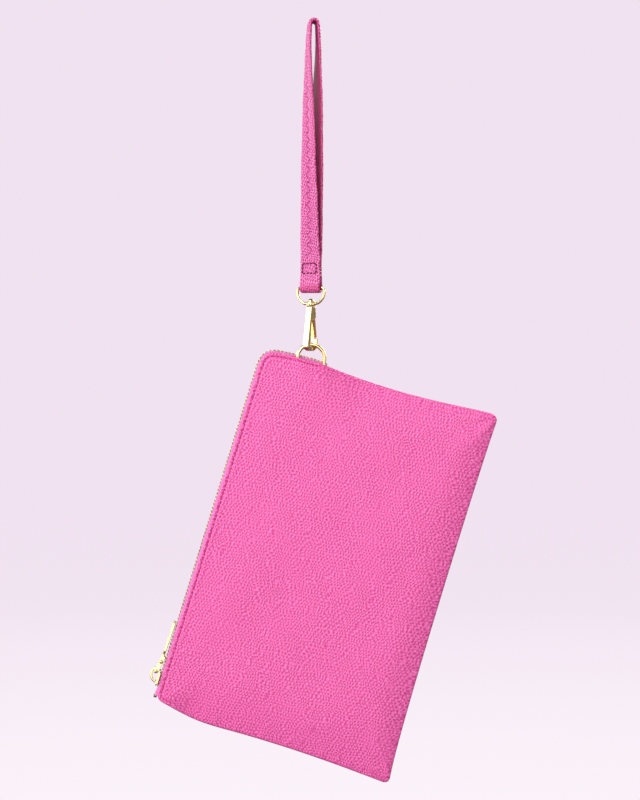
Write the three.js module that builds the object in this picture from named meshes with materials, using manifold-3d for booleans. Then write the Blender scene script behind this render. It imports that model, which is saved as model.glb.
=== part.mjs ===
// A flat zip-around wristlet wallet that hangs from its wrist strap. Millimetres, +Z up, front towards -Y.
// The origin is the inside of the strap loop's top, where a wrist or a peg carries it.
import * as THREE from "three";
import { mergeVertices } from "three/addons/utils/BufferGeometryUtils.js";
import Module from "manifold-3d";

const wasm = await Module();
wasm.setup();

// ---- Driving dimensions ----
const GAP = 0.3; // clearance between neighbouring pieces

const strap = { width: 14.5, thick: 2.2, edge: 0.6, tailTop: -156 };
// Along the strap from the loop's top down to the ring: height, turn of the band's face, leg spacing.
const strapRows = [
  [-1.5, 84, 5],
  [-15, 81, 6.3],
  [-30, 75, 6.5],
  [-55, 62, 6.5],
  [-90, 50, 6.2],
  [-125, 39, 5.2],
  [-150, 31, 3.6],
  [-160, 28, 2.6],
  [-168, 26, 2.6],
  [-175.5, 24, 4.4],
];

const claspX = -1.73; // the swivel's axis, which the ring, hook and pouch ring share
const claspRing = { barZ: -177, yaw: 24, wire: 0.9, halfBar: 7.9, halfWide: 9.7, collarZ: -10.7 };
const collar = { radius: 3, bore: 1.5, height: 3 };
const rivet = { shank: 1.2, head: 2.1, headHeight: 1.9, seat: 1.6 };
const hook = { topZ: -189.6, yaw: 52, thick: 4.4, bevel: 0.35, throatFloor: -26.9, bottom: -29.4 };
const gate = { thick: 2.4, pivotX: 1.1, pivotZ: -4.2, pin: 0.6, slot: 3 };

const pouchRing = { centreZ: -223.7, radius: 9, wire: 1.25, leg: 8, corner: 2.2, tilt: 7 };
const tab = { width: 14, leaf: 0.6, length: 12 };

const pouch = { x: -33.47, y: 2.9, z: -220, tilt: 17.2 };
const panel = { thick: 1.4, seam: 0.25, zipEdge: 4.2, middle: 4.2, tabBulge: 2.2 };
const lining = { thick: 0.5, gap: 0.35, start: 0.955 };
const core = 0.7; // the share of the outline that the flat middle of each panel covers
const centre = new THREE.Vector2(81, -122);

const zip = { bottom: -239.5, cornerBottom: -9, cornerU: 10, cornerW: 2.6, endU: 43, endW: 4 };
const teeth = { low: 0.4, high: 2.2, inner: 0.55, outer: 1.65 };
const zipTop = { shift: 1.5, squeeze: 0.7 }; // the zip's section behind the pouch ring
const slider = { w: -228, length: 11, plate: 1, halfWide: 3.8, halfInner: 1.6, post: 0.25 };
const bridge = { w: -226.5, length: 10.5, height: 5.6, strip: 1.5, halfWide: 1.2 };
const lowerPin = { d: 5.6, w: -224 };
const upperPin = { d: 4.2, w: -217.2 };
const connector = { inner: 1.9, thick: 1, half: 1.6, top: 4.6, pin: 0.7, head: 1.25 };
const pull = { thick: 1.6, halfWide: 2.8, neck: 1.5, tip: -188.7, tipD: 3.3, shoulder: 7 };

// ---- Materials ----
function finish(colour, roughness, metalness) {
  return new THREE.MeshStandardMaterial({ color: colour, roughness, metalness });
}
const leather = finish(0xe862ae, 0.55, 0);
const strapLeather = finish(0xd95a9c, 0.55, 0);
const liningCloth = finish(0xc96f9e, 0.85, 0);
const tapeCloth = finish(0xd68cbc, 0.8, 0);
const gold = finish(0xe6cf9a, 0.2, 1);
const zipMetal = finish(0xb9ac93, 0.35, 1);

// ---- Geometry helpers ----
const radians = THREE.MathUtils.degToRad;
const mix = THREE.MathUtils.lerp;
const place = (x, y, z) => new THREE.Vector3(x, y, z);
const at = (x, y) => new THREE.Vector2(x, y);
const smooth = (value, low, high) => THREE.MathUtils.smoothstep(value, low, high);

function volume(geometry) {
  const points = geometry.attributes.position;
  const [a, b, c] = [place(0, 0, 0), place(0, 0, 0), place(0, 0, 0)];
  let sum = 0;
  for (let i = 0; i < geometry.index.count; i += 3) {
    a.fromBufferAttribute(points, geometry.index.getX(i));
    b.fromBufferAttribute(points, geometry.index.getX(i + 1));
    c.fromBufferAttribute(points, geometry.index.getX(i + 2));
    sum += a.dot(b.cross(c)) / 6;
  }
  return sum;
}

// A closed solid skinned over rings of points with equal counts. The section closes its two ends,
// and a looped skin joins its last ring to its first instead.
function skin(rings, section, looped = false) {
  const count = rings[0].length;
  const index = [];
  for (let i = 0; i < (looped ? rings.length : rings.length - 1); i += 1) {
    const a = i * count;
    const b = ((i + 1) % rings.length) * count;
    for (let k = 0; k < count; k += 1) {
      const next = (k + 1) % count;
      index.push(a + k, b + k, b + next, a + k, b + next, a + next);
    }
  }
  if (!looped) {
    const end = (rings.length - 1) * count;
    const cap = THREE.ShapeUtils.triangulateShape(section, []);
    const along = THREE.ShapeUtils.isClockWise(section) ? -1 : 1;
    for (const [i, j, k] of cap) {
      const [p, q] = along > 0 ? [j, k] : [k, j];
      index.push(i, p, q, end + i, end + q, end + p);
    }
  }
  const geometry = new THREE.BufferGeometry().setFromPoints(rings.flat());
  geometry.setIndex(index);
  if (volume(geometry) < 0) geometry.setIndex(index.reverse());
  return geometry;
}

function toSolid(geometry) {
  const bare = geometry.index ? geometry.toNonIndexed() : geometry.clone();
  bare.deleteAttribute("normal");
  bare.deleteAttribute("uv");
  const merged = mergeVertices(bare, 1e-3);
  const vertProperties = merged.attributes.position.array;
  const triVerts = new Uint32Array(merged.index.array);
  return new wasm.Manifold(new wasm.Mesh({ numProp: 3, vertProperties, triVerts }));
}

function toGeometry(solid) {
  const mesh = solid.getMesh();
  const geometry = new THREE.BufferGeometry();
  geometry.setAttribute("position", new THREE.BufferAttribute(new Float32Array(mesh.vertProperties), 3));
  geometry.setIndex(new THREE.BufferAttribute(new Uint32Array(mesh.triVerts), 1));
  return geometry;
}

const join = (first, ...others) => toGeometry(others.reduce((s, g) => s.add(toSolid(g)), toSolid(first)));
const cut = (first, ...others) => toGeometry(others.reduce((s, g) => s.subtract(toSolid(g)), toSolid(first)));

function block([x0, x1], [y0, y1], [z0, z1]) {
  const box = new THREE.BoxGeometry(x1 - x0, y1 - y0, z1 - z0);
  return box.translate((x0 + x1) / 2, (y0 + y1) / 2, (z0 + z1) / 2);
}

// A flat shape in the X-Z plane with its thickness centred on Y.
function plate(outline, thick, bevel = 0) {
  const options = { depth: thick - 2 * bevel, curveSegments: 6, bevelEnabled: bevel > 0, bevelSegments: 1 };
  Object.assign(options, { bevelSize: bevel, bevelThickness: bevel, bevelOffset: -bevel });
  const geometry = new THREE.ExtrudeGeometry(outline, options);
  return geometry.translate(0, 0, bevel - thick / 2).rotateX(Math.PI / 2);
}

// A round pin or hole along Y.
function pinAlongY(radius, length, x, z) {
  return new THREE.CylinderGeometry(radius, radius, length, 20).translate(x, 0, z);
}

// A round wire along points of the X-Z plane.
function wire(points, radius, looped = false) {
  const sides = 8;
  const circle = Array.from({ length: sides }, (_, k) => (2 * Math.PI * k) / sides);
  const rings = points.map((point, i) => {
    const before = points[looped ? (i + points.length - 1) % points.length : Math.max(i - 1, 0)];
    const after = points[looped ? (i + 1) % points.length : Math.min(i + 1, points.length - 1)];
    const across = at(before.y - after.y, after.x - before.x).normalize();
    return circle.map((angle) => {
      const out = point.clone().addScaledVector(across, radius * Math.cos(angle));
      return place(out.x, radius * Math.sin(angle), out.y);
    });
  });
  return skin(rings, circle.map((angle) => at(Math.cos(angle), Math.sin(angle))), looped);
}

const wallet = new THREE.Group();
function add(name, geometry, material, group = wallet) {
  const mesh = new THREE.Mesh(geometry, material);
  mesh.name = name;
  group.add(mesh);
  return mesh;
}

// ---- Wrist strap: one band, folded over at the top and round the clasp ring's bar at the bottom ----
function strapBand() {
  const half = { w: strap.width / 2, t: strap.thick / 2 };
  const section = [
    at(-half.w, -half.t + strap.edge),
    at(-half.w + strap.edge, -half.t),
    at(half.w - strap.edge, -half.t),
    at(half.w, -half.t + strap.edge),
    at(half.w, half.t - strap.edge),
    at(half.w - strap.edge, half.t),
    at(-half.w + strap.edge, half.t),
    at(-half.w, half.t - strap.edge),
  ];
  // One cross-section. "out" is the angle of the band's outer face, from straight forward round to up.
  function station(z, yaw, offset, out) {
    const back = place(Math.sin(radians(yaw)), Math.cos(radians(yaw)), 0);
    const across = place(Math.cos(radians(yaw)), -Math.sin(radians(yaw)), 0);
    const outward = back.clone().multiplyScalar(-Math.cos(out)).add(place(0, 0, Math.sin(out)));
    const middle = place((claspX * z) / claspRing.barZ, 0, z).addScaledVector(back, offset);
    return section.map((p) => middle.clone().addScaledVector(across, p.x).addScaledVector(outward, p.y));
  }
  const rows = new THREE.CatmullRomCurve3(strapRows.map((row) => place(...row))).getSpacedPoints(28);
  const top = rows[0];
  const bend = claspRing.wire + GAP + half.t;
  const folds = 8;
  const angles = Array.from({ length: folds - 1 }, (_, k) => (Math.PI * (k + 1)) / folds);
  const below = rows.findIndex((row) => row.x < strap.tailTop);
  const above = rows[below - 1];
  const seam = above.clone().lerp(rows[below], (above.x - strap.tailTop) / (above.x - rows[below].x));
  const backLeg = (row, lift = 0) => station(row.x + lift, row.y, row.z / 2, Math.PI);
  // The band's two ends meet in the back leg.
  const tail = [backLeg(seam, -GAP / 2), ...rows.slice(below).map((row) => backLeg(row))];
  const round = angles.map((a) => {
    const z = claspRing.barZ - bend * Math.sin(a);
    return station(z, claspRing.yaw, bend * Math.cos(a), Math.PI + a);
  });
  const front = rows.map((r) => station(r.x, r.y, -r.z / 2, 0)).reverse();
  const over = angles.map((a) => {
    return station(top.x + (top.z / 2) * Math.sin(a), top.y, (-top.z / 2) * Math.cos(a), a);
  });
  const back = [...rows.slice(0, below).map((row) => backLeg(row)), backLeg(seam, GAP / 2)];
  return skin([...tail, ...round, ...front, ...over, ...back], section);
}
add("strap", strapBand(), strapLeather);

// ---- Swivel clasp ----
const ringFrame = new THREE.Group();
ringFrame.position.set(claspX, 0, claspRing.barZ);
ringFrame.rotation.z = -radians(claspRing.yaw);
wallet.add(ringFrame);

function claspRingGeometry() {
  const { halfBar, halfWide, collarZ } = claspRing;
  const right = [
    at(collar.radius - 0.8, collarZ),
    at(5.4, collarZ + 0.7),
    at(halfWide - 1.2, collarZ / 2 - 1.6),
    at(halfWide, -3.4),
    at(halfWide - 0.4, -0.9),
    at(halfBar, 0),
  ];
  const left = right.map((p) => at(-p.x, p.y)).reverse();
  const curve = new THREE.SplineCurve([...right, at(0, 0), ...left]);
  const loop = wire(curve.getPoints(36), claspRing.wire);
  const half = collar.height / 2;
  const barrel = new THREE.LatheGeometry(
    [at(0, -half), at(collar.radius - 0.5, -half), at(collar.radius, 0.5 - half),
      at(collar.radius, half - 0.5), at(collar.radius - 0.5, half), at(0, half)], 24);
  barrel.rotateX(Math.PI / 2).translate(0, 0, collarZ);
  const bore = new THREE.CylinderGeometry(collar.bore, collar.bore, collar.height + 2, 24);
  bore.rotateX(Math.PI / 2).translate(0, 0, collarZ);
  return cut(join(barrel, loop), bore);
}
add("clasp_ring", claspRingGeometry(), gold, ringFrame);

const hookFrame = new THREE.Group();
hookFrame.position.set(claspX, 0, hook.topZ);
hookFrame.rotation.z = radians(hook.yaw);
wallet.add(hookFrame);

function rivetGeometry() {
  const under = collar.height + 2 * GAP + 0.1; // from the hook's top to the underside of the head
  const dome = new THREE.EllipseCurve(0, under, rivet.head, rivet.headHeight, 0, Math.PI / 2).getPoints(6);
  const profile = [at(0, -rivet.seat), at(rivet.shank, -rivet.seat), at(rivet.shank, under), ...dome];
  return new THREE.LatheGeometry(profile, 20).rotateX(Math.PI / 2);
}
add("swivel_rivet", rivetGeometry(), gold, hookFrame);

function hookGeometry() {
  const spineInner = -3.3;
  const tipInner = 3.3;
  const shape = new THREE.Shape();
  shape.moveTo(-2.3, 0);
  shape.lineTo(-6.1, -24);
  shape.bezierCurveTo(-6.6, -27.6, -4.2, hook.bottom, -1, hook.bottom);
  shape.bezierCurveTo(2.6, hook.bottom, 4.9, -27.4, 4.7, -24);
  shape.lineTo(4.6, -20.9);
  shape.lineTo(tipInner, -20.9);
  shape.lineTo(tipInner, hook.throatFloor + 1.7);
  shape.quadraticCurveTo(tipInner, hook.throatFloor, tipInner - 1.7, hook.throatFloor);
  shape.lineTo(spineInner + 1.7, hook.throatFloor);
  shape.quadraticCurveTo(spineInner, hook.throatFloor, spineInner, hook.throatFloor + 1.7);
  shape.lineTo(-1.4, -9.5);
  shape.lineTo(2.9, -7.5);
  shape.lineTo(2.4, 0);
  const seat = new THREE.CylinderGeometry(collar.bore, collar.bore, 2 * (rivet.seat + GAP), 20);
  const slot = block([-0.9, 6], [-gate.slot / 2, gate.slot / 2], [-12, -2.4]);
  const pinHole = pinAlongY(gate.pin + GAP, 2 * hook.thick, gate.pivotX, gate.pivotZ);
  return cut(plate(shape, hook.thick, hook.bevel), seat.rotateX(Math.PI / 2), slot, pinHole);
}
add("hook_body", hookGeometry(), gold, hookFrame);

function gateGeometry() {
  const shape = new THREE.Shape();
  shape.absarc(gate.pivotX, gate.pivotZ, 1.6, Math.PI, Math.PI / 5, true);
  shape.lineTo(4.5, -20.2);
  shape.lineTo(3, -20.4);
  shape.lineTo(2.9, -21.4);
  shape.lineTo(1.9, -21.4);
  shape.lineTo(0.6, -8);
  const room = block([-1, 3.2], [0.1, gate.thick], [-6, -2]); // the coil spring sits beside the eye
  const eye = pinAlongY(gate.pin + GAP, 2 * gate.thick, gate.pivotX, gate.pivotZ);
  return cut(plate(shape, gate.thick), room, eye);
}
add("gate", gateGeometry(), gold, hookFrame);
add("gate_pin", pinAlongY(gate.pin, hook.thick - 0.2, gate.pivotX, gate.pivotZ), gold, hookFrame);

function gateSpringGeometry() {
  const hole = gate.pin + GAP;
  const coil = [at(hole, 0), at(1.5, 0), at(1.5, 0.7), at(hole, 0.7), at(hole, 0)];
  return new THREE.LatheGeometry(coil, 20).translate(gate.pivotX, 0.4, gate.pivotZ);
}
add("gate_spring", gateSpringGeometry(), zipMetal, hookFrame);

// ---- Pouch ring and the leather tab that holds its bar ----
const dFrame = new THREE.Group();
dFrame.position.set(claspX, 0, pouchRing.centreZ);
dFrame.rotation.y = radians(pouchRing.tilt);
wallet.add(dFrame);

function pouchRingGeometry() {
  const { radius, leg, corner } = pouchRing;
  const path = new THREE.Path();
  path.absarc(0, 0, radius, 0, Math.PI, false);
  path.lineTo(-radius, corner - leg);
  path.absarc(corner - radius, corner - leg, corner, Math.PI, 1.5 * Math.PI, false);
  path.lineTo(radius - corner, -leg);
  path.absarc(radius - corner, corner - leg, corner, 1.5 * Math.PI, 2 * Math.PI, false);
  path.closePath();
  const points = path.getSpacedPoints(44).slice(0, -1);
  return wire(points, pouchRing.wire, true);
}
add("pouch_ring", pouchRingGeometry(), gold, dFrame);

function ringTabGeometry() {
  const inner = pouchRing.wire + GAP;
  const outer = inner + tab.leaf;
  const low = -tab.length;
  const shape = new THREE.Shape(); // across the bar: Y to the right, up is up, the bar's centre at 0, 0
  shape.moveTo(-0.15, low);
  shape.lineTo(-0.15, -2.9);
  shape.quadraticCurveTo(-0.3, -1.9, -inner * 0.9, -inner * 0.45);
  shape.absarc(0, 0, inner, Math.PI * 1.15, -Math.PI * 0.15, true);
  shape.quadraticCurveTo(0.3, -1.9, 0.15, -2.9);
  shape.lineTo(0.15, low);
  shape.lineTo(0.15 + tab.leaf, low);
  shape.lineTo(0.15 + tab.leaf, -3.3);
  shape.quadraticCurveTo(0.9, -2.4, outer * 0.93, -outer * 0.37);
  shape.absarc(0, 0, outer, -Math.PI * 0.12, Math.PI * 1.12, false);
  shape.quadraticCurveTo(-0.9, -2.4, -0.15 - tab.leaf, -3.3);
  shape.lineTo(-0.15 - tab.leaf, low);
  const band = new THREE.ExtrudeGeometry(shape, { depth: tab.width, bevelEnabled: false, curveSegments: 10 });
  band.translate(0, 0, -tab.width / 2).rotateX(Math.PI / 2).rotateZ(Math.PI / 2);
  return band.translate(0, 0, -pouchRing.leg);
}
add("ring_tab", ringTabGeometry(), leather, dFrame);

// ---- Pouch, in its own frame: U across to the right, Y to the back, W up along the zip edge ----
const pouchFrame = new THREE.Group();
pouchFrame.position.set(pouch.x, pouch.y, pouch.z);
pouchFrame.rotation.y = radians(pouch.tilt);
wallet.add(pouchFrame);

const zipCorner = new THREE.QuadraticBezierCurve(
  at(0, zip.cornerBottom), at(0.3, 1.8), at(zip.cornerU, zip.cornerW));
const zipAcross = new THREE.CubicBezierCurve(
  at(zip.cornerU, zip.cornerW), at(22, 3.9), at(34, 4.3), at(zip.endU, zip.endW));

// The panels' outline, anticlockwise from the foot of the zip edge, with the two turned-out ears.
function pouchOutline() {
  const reversed = (curve, count) => curve.getPoints(count).reverse();
  const pieces = [
    new THREE.QuadraticBezierCurve(at(0, -237.5), at(0.4, -241.4), at(4, -242.4)).getPoints(3),
    new THREE.CubicBezierCurve(at(4, -242.4), at(18, -245.6), at(24, -249), at(50, -247.9)).getPoints(6),
    new THREE.CubicBezierCurve(at(50, -247.9), at(95, -246.4), at(130, -248.4), at(160, -250.4)).getPoints(8),
    new THREE.QuadraticBezierCurve(at(160, -250.4), at(165.4, -250.8), at(164.6, -245)).getPoints(4),
    new THREE.CubicBezierCurve(at(164.6, -245), at(160.8, -215), at(161, -30), at(162.4, 0.5)).getPoints(10),
    new THREE.QuadraticBezierCurve(at(162.4, 0.5), at(162.9, 6.6), at(156, 6.2)).getPoints(4),
    new THREE.CubicBezierCurve(at(156, 6.2), at(128, 4.4), at(96, -0.6), at(zip.endU, zip.endW)).getPoints(10),
    reversed(zipAcross, 6),
    reversed(zipCorner, 6),
    new THREE.LineCurve(at(0, zip.cornerBottom), at(0, -237.5)).getPoints(9),
  ];
  return pieces.flatMap((points) => points.slice(0, -1));
}
const outline = pouchOutline();

// How far a panel's inner face stands from the middle plane at an outline point: open along the zip,
// closed to a seam elsewhere, and pushed out on the front over the ring tab.
function edgeDepth(point, side) {
  const along = point.y > centre.y ? smooth(point.x, 46, 76) : smooth(point.x, 3, 24);
  const right = point.x > 120 ? 1 : along;
  const open = mix(panel.zipEdge, panel.seam, right);
  const bulge = side < 0 && point.y > 0 ? Math.exp(-(((point.x - 33) / 13) ** 4)) : 0;
  return open + panel.tabBulge * bulge;
}

// The inner face's distance from the middle plane at a share of the way out from the centre.
function depthAt(point, side, share) {
  const inward = Math.min(1, (1 - share) / (1 - core));
  const crown = 1 - (1 - inward) ** 2.2;
  return mix(edgeDepth(point, side), panel.middle, crown);
}

// A thin sheet that follows a panel's inner face: from "near" to "far" millimetres outside it.
function sheet(side, shares, near, far) {
  const ringAt = (share, offset) => outline.map((point) => {
    const p = centre.clone().lerp(point, share);
    return place(p.x, side * (depthAt(point, side, share) + offset), p.y);
  });
  const outer = shares.map((share) => ringAt(share, far));
  const inner = shares.map((share) => ringAt(share, near)).reverse();
  const section = outline.map((point) => centre.clone().lerp(point, core));
  return skin([...outer, ...inner], section);
}

const panelShares = [core, 0.79, 0.87, 0.93, 0.97, 1];
const liningShares = [core, 0.79, 0.87, 0.93, lining.start];
const liningOuter = -lining.gap;
const liningInner = liningOuter - lining.thick;
const tabRoom = block([20, 47], [-7, 0], [-21, 10]);
add("front_panel", sheet(-1, panelShares, 0, panel.thick), leather, pouchFrame);
add("back_panel", sheet(1, panelShares, 0, panel.thick), leather, pouchFrame);
add("lining_front", cut(sheet(-1, liningShares, liningInner, liningOuter), tabRoom), liningCloth, pouchFrame);
add("lining_back", sheet(1, liningShares, liningInner, liningOuter), liningCloth, pouchFrame);

// ---- Zip ----
// Points along the zip edge, each with the way out of the pouch and how far it is round to the top.
function zipStations(bottom) {
  const curve = new THREE.CurvePath();
  curve.add(new THREE.LineCurve(at(0, bottom), at(0, zip.cornerBottom)));
  curve.add(zipCorner);
  curve.add(zipAcross);
  const straight = 8;
  const lengths = curve.getCurveLengths();
  const total = lengths[lengths.length - 1];
  const begin = lengths[0] / total;
  const shares = Array.from({ length: straight }, (_, k) => (begin * k) / straight);
  const bends = 22;
  for (let k = 0; k <= bends; k += 1) shares.push(mix(begin, 1, k / bends));
  return shares.map((share) => {
    const point = curve.getPointAt(share);
    const along = curve.getTangentAt(share);
    const turned = smooth(share, begin, begin + 0.07);
    return { point, out: at(-along.y, along.x), turned };
  });
}

// Sweeps a section of (distance out, depth) points along the zip edge.
function alongZip(section, bottom = zip.bottom) {
  const rings = zipStations(bottom).map(({ point, out, turned }) => section.map(([d, y]) => {
    const p = point.clone().addScaledVector(out, d);
    return place(p.x, y * mix(1, zipTop.squeeze, turned) + zipTop.shift * turned, p.y);
  }));
  return skin(rings, section.map(([d, y]) => at(d, y)));
}

const tapeSection = [
  [-3.2, -3.3], [-0.2, -3.25], [0.9, -2.5], [1.3, -1.95],
  [0.7, -1.95], [0.5, -2.2], [-0.4, -2.75], [-3.2, -2.8],
];
const teethSection = [
  [teeth.low, -teeth.outer], [teeth.high, -teeth.outer], [teeth.high, -teeth.inner], [teeth.low, -teeth.inner],
];
const mirrored = (section) => section.map(([d, y]) => [d, -y]);
add("zip_tape_front", alongZip(tapeSection), tapeCloth, pouchFrame);
add("zip_tape_back", alongZip(mirrored(tapeSection)), tapeCloth, pouchFrame);
add("zip_teeth_front", alongZip(teethSection, -238), zipMetal, pouchFrame);
add("zip_teeth_back", alongZip(mirrored(teethSection), -238), zipMetal, pouchFrame);

for (const [name, side] of [["front", -1], ["back", 1]]) {
  const across = [side * 0.45, side * 1.85].sort((a, b) => a - b);
  add(`zip_top_stop_${name}`, block([-2.4, -0.2], across, [-241.2, -238.3]), zipMetal, pouchFrame);
}
add("zip_bottom_stop", block([43.5, 45.7], [0.4, 2.6], [0.8, 3]), zipMetal, pouchFrame);

// ---- Slider: two plates joined by the post that runs between the rows of teeth ----
function sliderGeometry() {
  const { length, plate: thick, halfWide, halfInner, post } = slider;
  const top = -(teeth.high + GAP);
  const foot = -(teeth.low - GAP);
  const shape = new THREE.Shape(); // seen from outside the edge: depth across, W up
  shape.moveTo(-halfWide, -length / 2 + 3);
  shape.quadraticCurveTo(-halfWide, -length / 2, -halfWide + 2, -length / 2);
  shape.lineTo(halfWide - 2, -length / 2);
  shape.quadraticCurveTo(halfWide, -length / 2, halfWide, -length / 2 + 3);
  shape.lineTo(halfWide * 0.75, length / 2);
  shape.lineTo(-halfWide * 0.75, length / 2);
  const cover = plate(shape, thick, 0.2).rotateZ(-Math.PI / 2).translate(top - thick / 2, 0, 0);
  const base = block([foot, foot + thick], [-halfInner, halfInner], [-length / 2, length / 2]);
  const web = block([top - thick / 2, foot + thick / 2], [-post, post], [-length / 2 + 1, length / 2 - 1]);
  return join(cover, base, web).translate(0, 0, slider.w);
}
add("slider_body", sliderGeometry(), gold, pouchFrame);

const bridgeFoot = teeth.high + GAP + slider.plate + GAP;
function bridgeGeometry() {
  const half = bridge.length / 2;
  const high = bridgeFoot + bridge.height;
  const inner = half - bridge.strip;
  const shape = new THREE.Shape();
  shape.moveTo(-bridgeFoot, -half);
  shape.bezierCurveTo(-high, -half, -high, half * 0.7, -high + 0.6, half * 0.6);
  shape.quadraticCurveTo(-high + 1, half, -bridgeFoot, half);
  shape.lineTo(-bridgeFoot, inner);
  shape.quadraticCurveTo(-high + 1.9, inner, -high + bridge.strip + 0.4, half * 0.45);
  shape.bezierCurveTo(-high + bridge.strip, half * 0.2, -high + bridge.strip, -inner, -bridgeFoot, -inner);
  return plate(shape, 2 * bridge.halfWide).translate(0, 0, bridge.w);
}
add("slider_bridge", bridgeGeometry(), gold, pouchFrame);

// ---- Pull: two side plates on pins, and the flat bar that hangs between them ----
const reach = at(lowerPin.d - upperPin.d, upperPin.w - lowerPin.w);
const lean = Math.atan2(reach.x, reach.y);

function connectorPlate(side) {
  const { half, inner, thick, top, pin } = connector;
  const shape = new THREE.Shape();
  shape.absarc(0, 0, half, Math.PI, 2 * Math.PI, false);
  shape.lineTo(half * 0.85, reach.length() + top - half);
  shape.absarc(0, reach.length() + top - half, half * 0.85, 0, Math.PI, false);
  const holes = [0, reach.length()].map((w) => pinAlongY(pin + GAP, 2 * thick, 0, w));
  const flat = cut(plate(shape, thick), ...holes);
  return flat.rotateY(lean).translate(-lowerPin.d, side * (inner + thick / 2), lowerPin.w);
}
add("connector_plate_front", connectorPlate(-1), gold, pouchFrame);
add("connector_plate_back", connectorPlate(1), gold, pouchFrame);

function connectorPin({ d, w }) {
  const { pin, head, inner, thick } = connector;
  const face = inner + thick + GAP;
  const profile = [
    at(0, -face - 0.7), at(head * 0.7, -face - 0.55), at(head, -face), at(pin, -face),
    at(pin, face), at(head, face), at(head * 0.7, face + 0.55), at(0, face + 0.7),
  ];
  return new THREE.LatheGeometry(profile, 16).translate(-d, 0, w);
}
add("connector_pin_lower", connectorPin(lowerPin), gold, pouchFrame);
add("connector_pin_upper", connectorPin(upperPin), gold, pouchFrame);

function pullGeometry() {
  const tip = at(upperPin.d - pull.tipD, pull.tip - upperPin.w);
  const length = tip.length();
  const shape = new THREE.Shape(); // the bar's face: depth across, length up from the upper pin
  shape.moveTo(-pull.neck, -1.5);
  shape.lineTo(pull.neck, -1.5);
  shape.lineTo(pull.neck, pull.shoulder - 1.5);
  shape.quadraticCurveTo(pull.halfWide, pull.shoulder - 0.5, pull.halfWide, pull.shoulder + 1);
  shape.lineTo(pull.halfWide, length - 2);
  shape.quadraticCurveTo(pull.halfWide, length, pull.halfWide - 2, length);
  shape.lineTo(2 - pull.halfWide, length);
  shape.quadraticCurveTo(-pull.halfWide, length, -pull.halfWide, length - 2);
  shape.lineTo(-pull.halfWide, pull.shoulder + 1);
  shape.quadraticCurveTo(-pull.halfWide, pull.shoulder - 0.5, -pull.neck, pull.shoulder - 1.5);
  const bar = plate(shape, pull.thick, 0.2).rotateZ(Math.PI / 2);
  const eye = pinAlongY(1.5, 2 * pull.neck, 0, 0);
  const hole = pinAlongY(connector.pin + GAP, 4 * pull.neck, 0, 0);
  return cut(join(bar, eye), hole).rotateY(Math.atan2(tip.x, tip.y)).translate(-upperPin.d, 0, upperPin.w);
}
add("pull_bar", pullGeometry(), gold, pouchFrame);

export default wallet;
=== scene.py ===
"""Wristlet wallet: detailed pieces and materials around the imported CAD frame, in millimetres."""

import math

import bmesh
import bpy
import numpy as np
from mathutils import Matrix, Vector


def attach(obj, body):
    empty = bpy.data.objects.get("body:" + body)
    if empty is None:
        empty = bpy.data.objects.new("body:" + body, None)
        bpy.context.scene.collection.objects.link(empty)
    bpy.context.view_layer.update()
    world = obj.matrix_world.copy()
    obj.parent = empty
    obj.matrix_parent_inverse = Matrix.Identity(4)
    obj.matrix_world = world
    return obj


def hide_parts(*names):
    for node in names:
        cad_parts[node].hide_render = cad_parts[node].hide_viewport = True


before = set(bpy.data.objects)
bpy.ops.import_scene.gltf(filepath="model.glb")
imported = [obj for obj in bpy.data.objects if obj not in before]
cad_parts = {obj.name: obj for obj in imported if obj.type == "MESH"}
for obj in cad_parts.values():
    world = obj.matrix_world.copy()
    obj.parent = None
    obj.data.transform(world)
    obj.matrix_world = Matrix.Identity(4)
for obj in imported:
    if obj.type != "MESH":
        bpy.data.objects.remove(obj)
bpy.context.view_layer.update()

MM = 0.001
SIDES = ((-1, "front"), (1, "back"))

# ---- The places and sizes that part.mjs sets ----
CLASP_X = -1.73
BAR_Z = -177.0
HOOK_TOP = -189.6
RING_CENTRE = -223.7
POUCH_ORIGIN = (-33.47, 2.9, -220.0)
POUCH_TILT = math.radians(17.2)
RING_TILT = math.radians(7.0)
CLASP_TURN = math.radians(-24.0)
HOOK_TURN = math.radians(52.0)


# ---- Frames: where each group of parts has its own origin and axes ----
def local_frame(origin, about_y=0.0, about_z=0.0):
    """A 4x4 matrix from a group's own millimetres to the row frame's millimetres."""
    turn = Matrix.Rotation(about_z, 4, "Z") @ Matrix.Rotation(about_y, 4, "Y")
    return np.array(Matrix.Translation(origin) @ turn)


WORLD = local_frame((0, 0, 0))
POUCH = local_frame(POUCH_ORIGIN, about_y=POUCH_TILT)
CLASP = local_frame((CLASP_X, 0, BAR_Z), about_z=CLASP_TURN)
HOOK = local_frame((CLASP_X, 0, HOOK_TOP), about_z=HOOK_TURN)
RING = local_frame((CLASP_X, 0, RING_CENTRE), about_y=RING_TILT)


def carried(points, matrix):
    """Points in a group's own millimetres, as metres in the row frame."""
    return (points @ matrix[:3, :3].T + matrix[:3, 3]) * MM


# ---- Curves ----
def bezier(controls, count):
    """Evenly spread parameters on a Bezier curve of any degree."""
    share = np.linspace(0, 1, count)[:, None]
    levels = [np.tile(np.asarray(c, float), (count, 1)) for c in controls]
    while len(levels) > 1:
        levels = [a * (1 - share) + b * share for a, b in zip(levels, levels[1:])]
    return levels[0]


def arc(centre, radius, start, end, count):
    """Points on a circular arc in the plane, with its angles in degrees."""
    angle = np.radians(np.linspace(start, end, count))
    return np.stack([centre[0] + radius * np.cos(angle), centre[1] + radius * np.sin(angle)], axis=1)


def joined(*runs):
    """One run of points from several, without the repeated ends."""
    points = [np.asarray(runs[0], float)]
    for run in runs[1:]:
        run = np.asarray(run, float)
        same = np.linalg.norm(run[0] - points[-1][-1]) < 1e-6
        points.append(run[1:] if same else run)
    return np.concatenate(points)


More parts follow.
